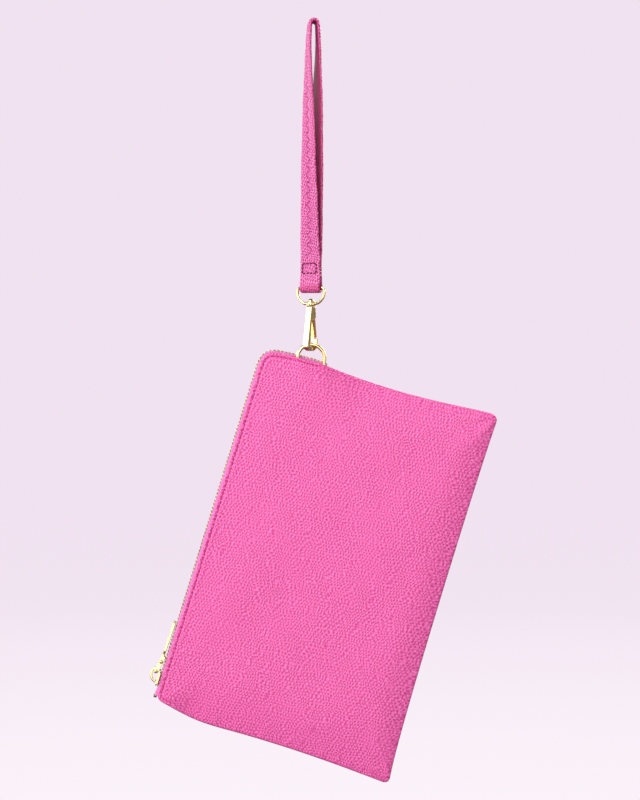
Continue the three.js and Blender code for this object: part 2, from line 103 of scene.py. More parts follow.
def evenly(points, step, looped=False):
    """The same curve with its points a fixed step apart."""
    points = np.asarray(points, float)
    if looped:
        points = np.concatenate([points, points[:1]])
    along = np.concatenate([[0], np.cumsum(np.linalg.norm(np.diff(points, axis=0), axis=1))])
    count = max(3, round(along[-1] / step) + 1)
    wanted = np.linspace(0, along[-1], count)
    spaced = np.stack([np.interp(wanted, along, points[:, k]) for k in range(points.shape[1])], axis=1)
    return spaced[:-1] if looped else spaced


def through(points, per_span=8, looped=False):
    """A Catmull-Rom curve through the points."""
    points = np.asarray(points, float)
    if looped:
        padded = np.concatenate([points[-1:], points, points[:2]])
    else:
        padded = np.concatenate([2 * points[:1] - points[1:2], points, 2 * points[-1:] - points[-2:-1]])
    t = (np.arange(per_span) / per_span)[:, None]
    runs = []
    for a, b, c, d in zip(padded, padded[1:], padded[2:], padded[3:]):
        runs.append(0.5 * (2 * b + (c - a) * t + (2 * a - 5 * b + 4 * c - d) * t**2
                           + (3 * b - a - 3 * c + d) * t**3))
    curve = np.concatenate(runs)
    return curve if looped else np.concatenate([curve, points[-1:]])


def full_circle(count):
    """Evenly spread angles once round."""
    return np.arange(count) * 2 * math.pi / count


def boxy(value, power):
    """A sine or cosine with its shape squared up: the lower the power, the squarer the section."""
    return np.sign(value) * np.abs(value) ** power


def smoothstep(value, low, high):
    """0 below low, 1 above high, and a smooth rise between."""
    share = np.clip((value - low) / (high - low), 0, 1)
    return share * share * (3 - 2 * share)


def bump_at(value, middle, width):
    """A soft bump, 1 at the middle."""
    return np.exp(-(((value - middle) / width) ** 2))


# ---- Mesh building ----
def loft(rings, looped=False):
    """Joins rings of points into one closed skin. Returns its points and faces."""
    rings = np.asarray(rings, float)
    count, sides = rings.shape[:2]
    index = np.arange(count * sides).reshape(count, sides)
    beside = np.roll(index, -1, axis=1)
    faces = []
    for k in range(count if looped else count - 1):
        n = (k + 1) % count
        faces += np.stack([index[k], beside[k], beside[n], index[n]], axis=1).tolist()
    if not looped:
        faces.append(index[0][::-1].tolist())
        faces.append(index[-1].tolist())
    return rings.reshape(-1, 3), faces


def together(*meshes):
    """Several (points, faces) as one."""
    points, faces, offset = [], [], 0
    for some_points, some_faces in meshes:
        points.append(some_points)
        faces += [[i + offset for i in face] for face in some_faces]
        offset += len(some_points)
    return np.concatenate(points), faces


def upright(flat, depth=0.0):
    """Flat (X, Z) points as points in space, at a depth along Y."""
    flat = np.asarray(flat, float)
    return np.stack([flat[:, 0], np.broadcast_to(depth, len(flat)), flat[:, 1]], axis=1)


def edgewise(flat, place):
    """Flat (Y, Z) points as points in space, at a place along X."""
    return upright(flat, place)[:, [1, 0, 2]]


def sideways(tangent):
    """Flat directions turned a quarter to the left."""
    return np.stack([-tangent[:, 1], tangent[:, 0]], axis=1)


def directions(points, looped=False):
    """The unit tangent at each point of a line."""
    if looped:
        tangent = np.roll(points, -1, axis=0) - np.roll(points, 1, axis=0)
    else:
        tangent = np.gradient(points, axis=0)
    return tangent / np.linalg.norm(tangent, axis=1)[:, None]


def tube(points, radius, sides=16, looped=False):
    """A round wire along the points. Its radius may change along the way."""
    points = np.asarray(points, float)
    tangent = directions(points, looped)
    radii = np.broadcast_to(radius, len(points))
    first = np.cross(tangent[0], [0.31, 0.87, 0.38])
    across = first / np.linalg.norm(first)
    angle = full_circle(sides)
    rings = []
    for point, along, size in zip(points, tangent, radii):
        across = across - along * across.dot(along)
        across = across / np.linalg.norm(across)
        up = np.cross(along, across)
        ring = np.cos(angle)[:, None] * across + np.sin(angle)[:, None] * up
        rings.append(point + ring * size)
    return loft(rings, looped)


def thread(points, radius, sides=8):
    """A short stitch: a wire with rounded ends."""
    ends = np.linspace(-1, 1, len(points))
    return tube(points, radius * np.sqrt(np.maximum(0.12, 1 - ends**6)), sides)


def strip(line, thin, wide, placed):
    """A band along a flat line. Its section reaches thin across the line and wide off its plane."""
    rings = zip(line, sideways(directions(line)))
    return loft([placed(point + across * thin[:, None], wide) for point, across in rings])


def revolved(profile, axis="Z", centre=(0, 0, 0), sides=40, ring=False):
    """Turns a profile of (radius, height) points round Z or Y through centre. "ring" closes the profile."""
    angle = full_circle(sides)
    rings = []
    for radius, height in profile:
        x, y = radius * np.cos(angle), radius * np.sin(angle)
        h = np.full(sides, float(height))
        columns = (x, y, h) if axis == "Z" else (x, h, y)
        rings.append(np.stack(columns, axis=1) + np.asarray(centre, float))
    return loft(rings, looped=ring)


def bore(radius, reach, axis="Y", centre=(0, 0, 0), sides=24):
    """A round rod that reaches as far both ways, for cutting a hole with."""
    return revolved([(radius, -reach), (radius, reach)], axis, centre, sides)


def dome(radius, height, low, steps):
    """The profile of a domed disc that stands on "low"."""
    angle = np.linspace(0, math.pi / 2, steps)
    return [(radius * max(0.02, math.cos(a)), low + height * math.sin(a)) for a in angle]


def slab(outline, low, high, placed=upright):
    """A flat plate with this outline. low and high are along the third axis."""
    return loft([placed(outline, level) for level in (low, high)])


def raw_mesh(name, mesh, matrix):
    """A Blender mesh from points and faces in a group's millimetres."""
    points, faces = mesh
    data = bpy.data.meshes.new(name)
    data.from_pydata(carried(points, matrix).tolist(), [], faces)
    return data


def linked(name, data):
    """A new object in the scene."""
    made = bpy.data.objects.new(name, data)
    bpy.context.scene.collection.objects.link(made)
    return made


def piece(name, mesh, matrix, body, material, stands_for=(), sharp=40.0, bevel=None, others=()):
    """Makes one piece from a mesh in a group's millimetres, puts it under its body's empty and hides the
    CAD parts it stands for.
    bevel is (width, segments). others has a (material, its faces) pair for each further material."""
    data = raw_mesh(name, mesh, matrix)
    data.materials.append(material)
    slots = np.zeros(len(data.polygons), int)
    for number, (further, chosen) in enumerate(others, start=1):
        data.materials.append(further)
        slots[chosen] = number
    data.polygons.foreach_set("material_index", slots)
    work = bmesh.new()
    work.from_mesh(data)
    bmesh.ops.remove_doubles(work, verts=work.verts, dist=1e-6)
    bmesh.ops.dissolve_degenerate(work, edges=work.edges, dist=1e-7)
    bmesh.ops.recalc_face_normals(work, faces=work.faces)
    work.to_mesh(data)
    work.free()
    data.shade_smooth()
    data.set_sharp_from_angle(angle=math.radians(sharp))
    made = linked(name, data)
    if bevel:
        edge = made.modifiers.new("edges", "BEVEL")
        edge.width = bevel[0] * MM
        edge.segments = bevel[1]
        edge.limit_method = "ANGLE"
        edge.angle_limit = math.radians(32)
        edge.harden_normals = True
    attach(made, body)
    if stands_for:
        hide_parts(*stands_for)
    return made


def with_holes(made, matrix, *cutters):
    """Cuts plain closed meshes out of a piece, for its bores and slots."""
    for k, mesh in enumerate(cutters):
        data = raw_mesh(f"cut_{k}", mesh, matrix)
        work = bmesh.new()
        work.from_mesh(data)
        bmesh.ops.recalc_face_normals(work, faces=work.faces)
        work.to_mesh(data)
        work.free()
        tool = linked(f"cut_{k}", data)
        hole = made.modifiers.new("hole", "BOOLEAN")
        hole.object = tool
        hole.solver = "EXACT"
        bpy.context.view_layer.update()
        evaluated = made.evaluated_get(bpy.context.evaluated_depsgraph_get())
        result = bpy.data.meshes.new_from_object(evaluated)
        made.modifiers.clear()
        made.data = result
        bpy.data.objects.remove(tool)


# ---- Materials ----
def colour(red, green, blue):
    """A screen colour, 0 to 255, as the linear colour a shader takes."""
    share = [c / 255 for c in (red, green, blue)]
    return (*[c / 12.92 if c <= 0.04045 else ((c + 0.055) / 1.055) ** 2.4 for c in share], 1)


class Finish:
    """One procedural material. Its patterns lie in the row frame, in metres."""

    def __init__(self, name, roughness, metallic=0.0, specular=0.5):
        self.material = bpy.data.materials.new(name)
        self.material.use_nodes = True
        self.tree = self.material.node_tree
        self.shader = self.tree.nodes["Principled BSDF"]
        self.shader.inputs["Roughness"].default_value = roughness
        self.shader.inputs["Metallic"].default_value = metallic
        self.shader.inputs["Specular IOR Level"].default_value = specular
        self.place = self.node("ShaderNodeTexCoord").outputs["Object"]
        self.height = None

    def node(self, kind, inputs=None, **settings):
        made = self.tree.nodes.new(kind)
        for key, value in settings.items():
            setattr(made, key, value)
        for key, value in (inputs or {}).items():
            if isinstance(value, bpy.types.NodeSocket):
                self.tree.links.new(value, made.inputs[key])
            else:
                made.inputs[key].default_value = value
        return made

    def maths(self, operation, a, b=0.5, c=0.5):
        return self.node("ShaderNodeMath", {0: a, 1: b, 2: c}, operation=operation).outputs[0]

    def noise(self, period_mm, detail=2.0, roughness=0.5, place=None):
        inputs = {"Vector": place or self.place, "Scale": 1000 / period_mm, "Detail": detail,
                  "Roughness": roughness}
        return self.node("ShaderNodeTexNoise", inputs).outputs["Fac"]

    def ramp(self, value, *stops):
        """Colours or greys by value. Each stop is (value, colour)."""
        made = self.node("ShaderNodeValToRGB", {"Fac": value})
        elements = made.color_ramp.elements
        while len(elements) < len(stops):
            elements.new(0.5)
        for element, (position, shade) in zip(elements, stops):
            element.position = position
            element.color = shade if isinstance(shade, tuple) else (shade, shade, shade, 1)
        return made.outputs["Color"]

    def mixed(self, factor, a, b):
        return self.node("ShaderNodeMix", {0: factor, 6: a, 7: b}, data_type="RGBA").outputs[2]

    def warped(self, period_mm, reach_mm):
        """The pattern's place, pushed about so that it isn't regular."""
        inputs = {"Vector": self.place, "Scale": 1000 / period_mm, "Detail": 1.0}
        noise = self.node("ShaderNodeTexNoise", inputs).outputs["Color"]
        centred = self.node("ShaderNodeVectorMath", {0: noise, 1: (0.5, 0.5, 0.5)}, operation="SUBTRACT")
        push = self.node("ShaderNodeVectorMath", {0: centred.outputs[0], "Scale": reach_mm * MM},
                         operation="SCALE")
        return self.node("ShaderNodeVectorMath", {0: self.place, 1: push.outputs[0]},
                         operation="ADD").outputs[0]

    def turned(self, place, degrees, stretch=(1.0, 1.0, 1.0)):
        """The place turned about Y, then stretched along its new axes."""
        turn = self.node("ShaderNodeVectorRotate", {"Vector": place, "Angle": math.radians(degrees)},
                         rotation_type="Y_AXIS")
        return self.node("ShaderNodeVectorMath", {0: turn.outputs[0], 1: stretch},
                         operation="MULTIPLY").outputs[0]

    def bump(self, height, depth_mm):
        """Adds a relief of this depth over the ones before it."""
        inputs = {"Height": height, "Distance": depth_mm * MM, "Strength": 1.0}
        if self.height is not None:
            inputs["Normal"] = self.height
        self.height = self.node("ShaderNodeBump", inputs).outputs["Normal"]
        self.tree.links.new(self.height, self.shader.inputs["Normal"])

    def into(self, name, value):
        self.tree.links.new(value, self.shader.inputs[name])

    def sheen(self, weight, roughness, tint):
        self.shader.inputs["Sheen Weight"].default_value = weight
        self.shader.inputs["Sheen Roughness"].default_value = roughness
        self.shader.inputs["Sheen Tint"].default_value = tint


# The three trains of waves in the embossed grain: direction in the X-Z plane, in degrees, and share.
GRAIN_WAVES = ((140, 1.0), (10, 0.92), (78, 0.65))


def leather(name, base, light, pit_shade, pitch_mm, depth_mm, roughness=0.42):
    """Embossed pebble grain: small rounded bumps in wandering rows, with pits between them."""
    skin = Finish(name, roughness, specular=0.4)
    height = 0.0
    for number, (degrees, share) in enumerate(GRAIN_WAVES):
        turn = math.radians(degrees)
        steps = 2 * math.pi * 1000 / pitch_mm
        vector = (steps * math.cos(turn), -steps * math.cos(turn), steps * math.sin(turn))
        place = skin.warped(7.0 + 2.5 * number, 5.0)
        phase = skin.node("ShaderNodeVectorMath", {0: place, 1: vector}, operation="DOT_PRODUCT")
        wave = skin.maths("SINE", phase.outputs["Value"])
        height = skin.maths("MULTIPLY_ADD", wave, share, height)
    worn = skin.ramp(skin.noise(26.0), (0.36, 0.75), (0.6, 1.0))
    height = skin.maths("MULTIPLY", height, worn)
    grain = skin.ramp(skin.maths("MULTIPLY_ADD", height, 0.25, 0.5), (0.1, 0.0), (0.45, 0.5), (0.9, 1.0))
    fine = skin.noise(0.4)
    # Painted shade and highlight: the colour is darkest in the grain's pits and lightest on its tops.
    skin.into("Base Color", skin.ramp(grain, (0.0, pit_shade), (0.5, base), (1.0, light)))
    skin.into("Roughness", skin.maths("MULTIPLY_ADD", grain, -0.16, roughness + 0.12))
    skin.bump(grain, depth_mm)
    skin.bump(fine, depth_mm * 0.08)
    skin.sheen(0.06, 0.4, light)
    return skin.material


def cloth(name, base, dark, yarn_mm, depth_mm, roughness=0.85):
    """A plain weave whose yarns lie along the pouch's own axes."""
    weave = Finish(name, roughness, specular=0.25)
    place = weave.turned(weave.warped(6, 0.25), -math.degrees(POUCH_TILT))
    inputs = {"Vector": place, "Scale": 500 / yarn_mm}
    warp = weave.node("ShaderNodeTexWave", inputs, bands_direction="Z").outputs["Fac"]
    weft = weave.node("ShaderNodeTexWave", inputs, bands_direction="X").outputs["Fac"]
    yarns = weave.maths("MAXIMUM", warp, weft)
    fluff = weave.noise(0.5, detail=3.0)
    height = weave.maths("MULTIPLY_ADD", fluff, 0.3, yarns)
    weave.into("Base Color", weave.mixed(weave.maths("MULTIPLY", yarns, 0.8), dark, base))
    weave.bump(height, depth_mm)
    weave.sheen(0.2, 0.5, base)
    return weave.material


def metal(name, base, dark, roughness):
    """Plated metal: polished, with faint smears that dull it and fine scratches."""
    plate = Finish(name, roughness, metallic=1.0)
    smears = plate.ramp(plate.noise(9.0, detail=4.0, roughness=0.6), (0.42, 0.0), (0.7, 1.0))
    place = plate.turned(plate.place, 31, (0.22, 1.0, 1.0))
    scratches = plate.noise(0.5, place=place)
    plate.into("Base Color", plate.mixed(plate.maths("MULTIPLY", smears, 0.35), base, dark))
    plate.into("Roughness", plate.maths("MULTIPLY_ADD", smears, 0.1, roughness))
    plate.bump(scratches, 0.006)
    return plate.material


def yarn(name, base, dark):
    """Twisted sewing thread."""
    twist = Finish(name, 0.7, specular=0.3)
    place = twist.turned(twist.place, 35)
    inputs = {"Vector": place, "Scale": 900.0, "Distortion": 0.6}
    plies = twist.node("ShaderNodeTexWave", inputs, bands_direction="X").outputs["Fac"]
    twist.into("Base Color", twist.mixed(plies, dark, base))
    twist.bump(plies, 0.05)
    twist.sheen(0.25, 0.4, base)
    return twist.material


# Each leather takes a base colour, a lighter one painted on the grain's tops as highlight and a darker one
# painted in its pits as shade.
PANEL_LEATHER = leather("panel_leather", colour(226, 89, 161), colour(246, 118, 186),
                        colour(206, 62, 135), 2.05, 0.26)
STRAP_LEATHER = leather("strap_leather", colour(198, 80, 142), colour(234, 122, 186),
                        colour(142, 36, 92), 1.9, 0.3, roughness=0.38)
# Darker leather for the band's rims, and for its hem at the foot as painted shade where the band turns
# under.
STRAP_DARK_RIMS_AND_HEM_SHADE = leather("strap_dark_rims_and_hem_shade", colour(192, 60, 122), colour(222, 94, 158),
                     colour(140, 30, 84), 1.9, 0.24, roughness=0.38)
STRAP_BACKING = leather("strap_backing", colour(168, 40, 98), colour(188, 62, 120),
                        colour(116, 18, 60), 1.4, 0.08, roughness=0.6)
LINING_CLOTH = cloth("lining_cloth", colour(206, 128, 168), colour(150, 78, 116), 0.5, 0.08)
TAPE_CLOTH = cloth("tape_cloth", colour(236, 144, 202), colour(192, 88, 154), 0.45, 0.08)
GOLD = metal("pale_gold", colour(240, 216, 158), colour(192, 142, 84), 0.13)
# The gate's gold is a warmer, darker copy of the same gold: a painted reflection of orange-brown
# surroundings.
GATE_REFLECTION_GOLD = metal("gate_reflection_gold", colour(232, 176, 108), colour(176, 104, 48), 0.16)
ZIP_METAL = metal("zip_metal", colour(168, 152, 124), colour(108, 90, 68), 0.28)
PANEL_THREAD = yarn("panel_thread", colour(196, 60, 134), colour(140, 30, 88))
ZIGZAG_THREAD = yarn("zigzag_thread", colour(190, 70, 136), colour(142, 40, 98))
BOX_THREAD = yarn("box_thread", colour(128, 24, 70), colour(70, 8, 36))


# ---- Pouch: the outline and the shape of its panels ----
PANEL_THICK = 1.4
SEAM_OPEN = 0.03
ZIP_OPEN = 4.2
MIDDLE_OPEN = 4.2
TAB_BULGE = 2.2
CORE = 0.7
CENTRE = np.array([81.0, -122.0])
STITCH_IN = 2.4  # the seam's distance in from the zip edge
STITCH_PITCH = 3.0
EDGE_STEP = 0.25
PANEL_HALF = 81.0  # the reach of the insets, from the outline to the centre
LAST_INSET = PANEL_HALF * 0.985
CORNER_FOOT = -9  # the height where the zip edge starts to turn
ZIP_CORNER = bezier([(0, CORNER_FOOT), (0.3, 1.8), (10, 2.6)], 24)
ZIP_ACROSS = bezier([(10, 2.6), (22, 3.9), (34, 4.3), (43, 4)], 40)


def pouch_outline(step):
    """The panels' outline, anticlockwise from the foot of the zip edge."""
    runs = joined(
        bezier([(0, -237.5), (0.4, -241.4), (4, -242.4)], 12),
        bezier([(4, -242.4), (18, -245.6), (24, -249), (50, -247.9)], 40),
        bezier([(50, -247.9), (95, -246.4), (130, -248.4), (160, -250.4)], 60),
        bezier([(160, -250.4), (165.4, -250.8), (164.6, -245)], 14),
        bezier([(164.6, -245), (160.8, -215), (161, -30), (162.4, 0.5)], 120),
        bezier([(162.4, 0.5), (162.9, 6.6), (156, 6.2)], 14),
        bezier([(156, 6.2), (128, 4.4), (96, -0.6), (43, 4)], 80),
        ZIP_ACROSS[::-1],
        ZIP_CORNER[::-1],
    )
    return evenly(runs, step, looped=True)


OUTLINE = pouch_outline(1.0)
OUTLINE_ANGLE = np.arctan2(*(OUTLINE - CENTRE).T[::-1])
OUTLINE_RADIUS = np.linalg.norm(OUTLINE - CENTRE, axis=1)
OUTLINE_ALONG = np.arange(len(OUTLINE)) * 1.0


def zip_share(points):
    """1 where an outline point is on the open zip edge, and 0 where it is on a seam."""
    u, w = points[:, 0], points[:, 1]
    seam = np.where(w > CENTRE[1], smoothstep(u, 46, 76), smoothstep(u, 3, 24))
    return 1 - np.where(u > 120, 1, seam)


def edge_open(points, side):
    """How far a panel's inner face stands from the middle plane at an outline point."""
    opened = SEAM_OPEN + (ZIP_OPEN - SEAM_OPEN) * zip_share(points)
    if side > 0:
        return opened
    return opened + TAB_BULGE * np.exp(-(((points[:, 0] - 33) / 13) ** 4)) * (points[:, 1] > 0)


def around(points, values):
    """An outline value carried inward to the points along the rays from the centre."""
    angle = np.arctan2(*(points - CENTRE).T[::-1])
    return np.interp(angle, OUTLINE_ANGLE, values, period=2 * math.pi)


def inner_depth(points, side):
    """The inner face's distance from the middle plane."""
    share = np.linalg.norm(points - CENTRE, axis=1) / around(points, OUTLINE_RADIUS)
    inward = np.clip((1 - share) / (1 - CORE), 0, 1)
    crown = 1 - (1 - inward) ** 2.2
    return around(points, edge_open(OUTLINE, side)) * (1 - crown) + MIDDLE_OPEN * crown


def nearest_edge(points):
    """Each point's distance from the outline, and the outline index it is nearest to."""
    distance, index = [], []
    for start in range(0, len(points), 2000):
        gaps = np.linalg.norm(points[start:start + 2000, None] - OUTLINE[None], axis=2)
        distance.append(gaps.min(axis=1))
        index.append(gaps.argmin(axis=1))
    return np.concatenate(distance), np.concatenate(index)


def relief(points, side):
    """The leather's relief over the smooth crown: slack, seam puckers, edge roll and stitch groove."""
    u, w = points[:, 0], points[:, 1]
    away, index = nearest_edge(points)
    along = OUTLINE_ALONG[index]
    zipped = zip_share(OUTLINE)[index]
    slack = (0.34 * np.sin(u / 17 + 1.3 * np.sin(w / 41) + side) * np.sin(w / 31 + 0.6)
             + 0.22 * np.sin(u / 11 - w / 19 + 2.1 * side) + 0.1 * np.sin(u / 5.2 + w / 7.5))
    height = slack * smoothstep(away, 4, 34)
    roll = 0.16 * bump_at(away, 1.0, 0.6) + 0.2 * bump_at(away, 4.3, 1.1)
    pull = 0.93 + 0.07 * np.cos(2 * math.pi * along / STITCH_PITCH)
    height += zipped * (roll - 0.75 * pull * bump_at(away, STITCH_IN, 0.5))
    seam = 1 - zipped
    pucker = 0.13 * np.sin(along / 1.35 + 0.9 * np.sin(along / 8.3)) + 0.1 * np.sin(along / 3.1 + 1)
    height += seam * pucker * smoothstep(away, 0.3, 1.6) * (1 - smoothstep(away, 2.5, 10))
    for corner in ((163.0, -249.0), (161.0, 5.0)):
        dx, dy = u - corner[0], w - corner[1]
        reach = np.hypot(dx, dy)
        folds = 0.38 * np.cos(6.8 * np.arctan2(dy, dx) + 0.5) * smoothstep(reach, 1.5, 6)
        height += folds * (1 - smoothstep(reach, 9, 26)) * smoothstep(away, 0.5, 3)
    return height


def outer_face(points, side):
    """The outer face's distance from the middle plane, rounded over to nothing at the edge."""
    away, index = nearest_edge(points)
    zipped = zip_share(OUTLINE)[index]
    over = 1.7 - 0.8 * zipped
    rounding = np.sqrt(np.clip(1 - (1 - np.clip(away / over, 0, 1)) ** 2, 0, 1))
    return inner_depth(points, side) + PANEL_THICK * (0.12 + 0.88 * rounding) + relief(points, side)


def panel_mesh(side):
    """One leather panel: a grained outer face, a rounded edge and a plain inner face."""
    insets = list(np.arange(0, 7.2, 0.36))
    while insets[-1] < LAST_INSET:
        insets.append(min(LAST_INSET, insets[-1] + min(2.6, 0.14 * insets[-1])))
    rings = []
    for inset in reversed(insets):
        points = CENTRE + (OUTLINE - CENTRE) * (1 - inset / PANEL_HALF)
        rings.append(upright(points, side * outer_face(points, side)))
    for inset in (0.0, 0.6, 1.5, 4, 9, 16, 26, 45, 65, LAST_INSET):
        points = CENTRE + (OUTLINE - CENTRE) * (1 - inset / PANEL_HALF)
        rings.append(upright(points, side * inner_depth(points, side)))
    return loft(rings)


def zip_edge(foot, step):
    """The zip edge's own line, from a height near its foot."""
    return evenly(joined([(0, foot), (0, CORNER_FOOT)], ZIP_CORNER, ZIP_ACROSS), step)


def offset_edge(inset, start, end):
    """The zip edge's line moved in by an inset, between two lengths along it from the foot."""
    edge = zip_edge(-241, EDGE_STEP)
    line = edge - sideways(directions(edge)) * inset
    along = np.arange(len(edge)) * EDGE_STEP
    return line[(along >= start) & (along <= end)]


def seam_stitches(side):
    """The stitches along the zip edge, each a short thread that dips at both ends."""
    line = evenly(offset_edge(STITCH_IN, 1.0, 280), EDGE_STEP)
    per_stitch = round(STITCH_PITCH / EDGE_STEP)
    stitches = []
    for start in range(0, len(line) - per_stitch, per_stitch):
        run = line[start:start + per_stitch - 2]
        lift = 0.16 - 0.42 * np.linspace(-1, 1, len(run)) ** 4
        stitches.append(thread(upright(run, side * (outer_face(run, side) + lift)), 0.27))
    return together(*stitches)


for side, where in SIDES:
    piece(f"{where}_panel_leather", panel_mesh(side), POUCH, "pouch", PANEL_LEATHER, [f"{where}_panel"],
          sharp=60)
    piece(f"{where}_panel_stitches", seam_stitches(side), POUCH, "pouch", PANEL_THREAD)


LINING_SHARE = 0.95  # the lining's outline as a share of the panel's


def lining_mesh(side):
    """A cloth lining sewn in behind a panel, with shallow folds."""
    outline = evenly(OUTLINE, 2.5, looped=True)
    shares = np.linspace(0.04, LINING_SHARE, 44)

    def ring_at(share, offset):
        points = CENTRE + (outline - CENTRE) * share
        fold = 0.12 * np.sin(points[:, 0] / 4.3 + np.sin(points[:, 1] / 13)) * np.sin(points[:, 1] / 23)
        return upright(points, side * (inner_depth(points, side) - 0.65 + offset + fold))

    outer = [ring_at(share, 0.15) for share in shares]
    inner = [ring_at(share, -0.15) for share in shares[::-1]]
    return loft(outer + inner)


def box_mesh(low, high):
    """A plain box, for cutting with."""
    outline = [(low[0], low[2]), (high[0], low[2]), (high[0], high[2]), (low[0], high[2])]
    return slab(outline, low[1], high[1])


lining_front = piece("front_lining_cloth", lining_mesh(-1), POUCH, "pouch", LINING_CLOTH, ["lining_front"])
with_holes(lining_front, POUCH, box_mesh((20, -7, -21), (47, 0, 10)))
lining_back = piece("back_lining_cloth", lining_mesh(1), POUCH, "pouch", LINING_CLOTH, ["lining_back"])


# ---- Zip: tapes, teeth and stops along the edge ----
TAPE_FOOT = -239.5
TEETH_FOOT = -234.0
TOOTH_PITCH = 2.5


def zip_line(foot, step):
    """Stations along the zip edge: point, way out of the pouch, way along, and how far round to the top."""
    points = zip_edge(foot, step)
    tangent = directions(points)
    out = sideways(tangent)
    straight = CORNER_FOOT - foot
    along = np.arange(len(points)) * np.linalg.norm(points[1] - points[0])
    turned = smoothstep(along, straight, straight + 19)
    return points, out, tangent, turned, along


def zip_place(point, out, turned, distance, depth):
    """A point at a distance out of the pouch's edge and a depth off its middle plane."""
    flat = point + out * distance
    return np.array([flat[0], depth * (1 - 0.3 * turned) + 1.5 * turned, flat[1]])


TAPE_SECTION = [
    (-3.2, -3.3), (-1.6, -3.3), (-0.4, -3.22), (0.3, -2.98), (0.85, -2.6), (1.2, -2.2), (1.32, -2.0),
    (1.25, -1.8), (0.95, -1.82), (0.7, -2.05), (0.35, -2.4), (-0.1, -2.66), (-0.7, -2.82), (-3.2, -2.85),
]


def tape_mesh(side):
    """One woven tape: it leans out towards the teeth, slightly wavy, and flares below the slider."""
    points, out, _, turned, along = zip_line(TAPE_FOOT, 0.8)
    rings = []
    for k, point in enumerate(points):
        wave = 0.09 * math.sin(along[k] / 2.1) + 0.07 * math.sin(along[k] / 5.3 + side)
        flare = 1.1 * (1 - float(smoothstep(along[k], 2.0, 7.0))) * 0.9
        ring = []
        for distance, depth in TAPE_SECTION:
            free = float(smoothstep(distance, -1.0, 1.3))
            ring.append(zip_place(point, out[k], turned[k], distance + free * (wave + flare * 0.6),
                                  -side * depth - side * free * flare * 0.25))
        rings.append(ring)
    return loft(rings)


def tooth_mesh(side):
    """One metal tooth: a rounded block that grips the tape's cord and reaches past the middle."""
    half = 0.78
    levels = [(0.42, 0.86), (0.62, 1.0), (1.7, 1.0), (1.98, 0.84), (2.16, 0.5)]
    outline = [(-1.0, -1.65), (-0.7, -1.72), (0.7, -1.72), (1.0, -1.65), (1.0, -0.75), (0.62, 0.28),
               (0.3, 0.44), (-0.3, 0.44), (-0.62, 0.28), (-1.0, -0.75)]
    rings = []
    for distance, size in levels:
        rings.append([(distance, -side * depth * (0.9 + 0.1 * size), across * half * size)
                      for across, depth in outline])
    return loft(rings)


def teeth_mesh(side):
    """One row of teeth. The two rows sit half a pitch apart, so that they mesh."""
    points, out, tangent, turned, along = zip_line(TEETH_FOOT, 0.05)
    template, faces = tooth_mesh(side)
    offset = TOOTH_PITCH * (0.5 if side > 0 else 0.0)
    teeth = []
    for centre in np.arange(0.9 + offset, along[-1] - 0.8, TOOTH_PITCH):
        k = int(np.searchsorted(along, centre))
        placed = [zip_place(points[k] + tangent[k] * a, out[k], turned[k], d, y) for d, y, a in template]
        teeth.append((np.array(placed), faces))
    return together(*teeth)


def stop_mesh(low, high):
    """A crimped stop: a small rounded block."""
    (x0, y0, z0), (x1, y1, z1) = low, high
    outline = np.array([(x0 + 0.3, z0), (x1 - 0.3, z0), (x1, z0 + 0.4), (x1, z1 - 0.4), (x1 - 0.3, z1),
                        (x0 + 0.3, z1), (x0, z1 - 0.4), (x0, z0 + 0.4)])
    middle = outline.mean(axis=0)
    rings = []
    for level, size in ((y0, 0.8), (y0 + 0.18, 1.0), (y1 - 0.18, 1.0), (y1, 0.8)):
        rings.append(upright(middle + (outline - middle) * size, level))
    return loft(rings)


for side, where in SIDES:
    piece(f"{where}_zip_tape", tape_mesh(side), POUCH, "pouch", TAPE_CLOTH, [f"zip_tape_{where}"], sharp=60)
    piece(f"{where}_zip_teeth", teeth_mesh(side), POUCH, "pouch", ZIP_METAL, [f"zip_teeth_{where}"],
          sharp=35)
    low, high = sorted((side * 0.45, side * 1.85))
    piece(f"{where}_top_stop", stop_mesh((-2.4, low, -241.2), (-0.2, high, -238.3)), POUCH, "pouch",
          ZIP_METAL, [f"zip_top_stop_{where}"])
piece("bottom_stop", stop_mesh((43.5, 0.4, 0.8), (45.7, 2.6, 3)), POUCH, "pouch", ZIP_METAL,
      ["zip_bottom_stop"])


# ---- Slider and pull ----
SLIDER_W = -228.0
BRIDGE_W = -226.5
LOWER_PIN = (-5.6, -224.0)
UPPER_PIN = (-4.2, -217.2)
PULL_TIP = (-3.3, -188.7)


def slider_outline(shrink=0.0):
    """The slider's cover seen from outside the edge: depth across, W up."""
    half, wide = 5.5 - shrink, 3.8 - shrink
    lower = bezier([(-wide, 2.5 - half), (-wide, -half), (1.9 - wide, -half)], 7)
    upper = bezier([(2.2 - wide, half), (0.2 - wide, half), (0.6 - wide, half - 2.4)], 7)
    left = joined(upper, lower)
    right = left[::-1] * (-1, 1)
    return np.concatenate([left, right])


def slider_mesh():
    """The slider's cover with its two turned-in flanges, and the inner plate behind the teeth."""
    cover_rings = []
    for level, shrink in ((-2.5, 0.25), (-2.7, 0.0), (-3.25, 0.0), (-3.45, 0.18), (-3.5, 0.5)):
        cover_rings.append(edgewise(slider_outline(shrink), level))
    cover = loft(cover_rings)
    flanges = []
    for side in (-1, 1):
        rings = []
        for w in np.linspace(-4.2, 3.4, 8):
            wide = 3.75 - 0.45 * float(smoothstep(w, -3, 4))
            section = [(-3.0, wide), (-2.2, wide), (-1.85, wide - 0.25), (-1.8, wide - 0.6),
                       (-1.95, wide - 0.85), (-2.3, wide - 0.9), (-3.0, wide - 0.9)]
            rings.append([(d, side * y, w) for d, y in section])
        flanges.append(loft(rings))
    base = slab(slider_outline(0.4) * (0.42, 1.0), -0.1, 0.9, placed=edgewise)
    points, faces = together(cover, *flanges, base)
    return points + (0, 0, SLIDER_W), faces


piece("slider_shell", slider_mesh(), POUCH, "slider", GOLD, ["slider_body"], sharp=35, bevel=(0.18, 2))


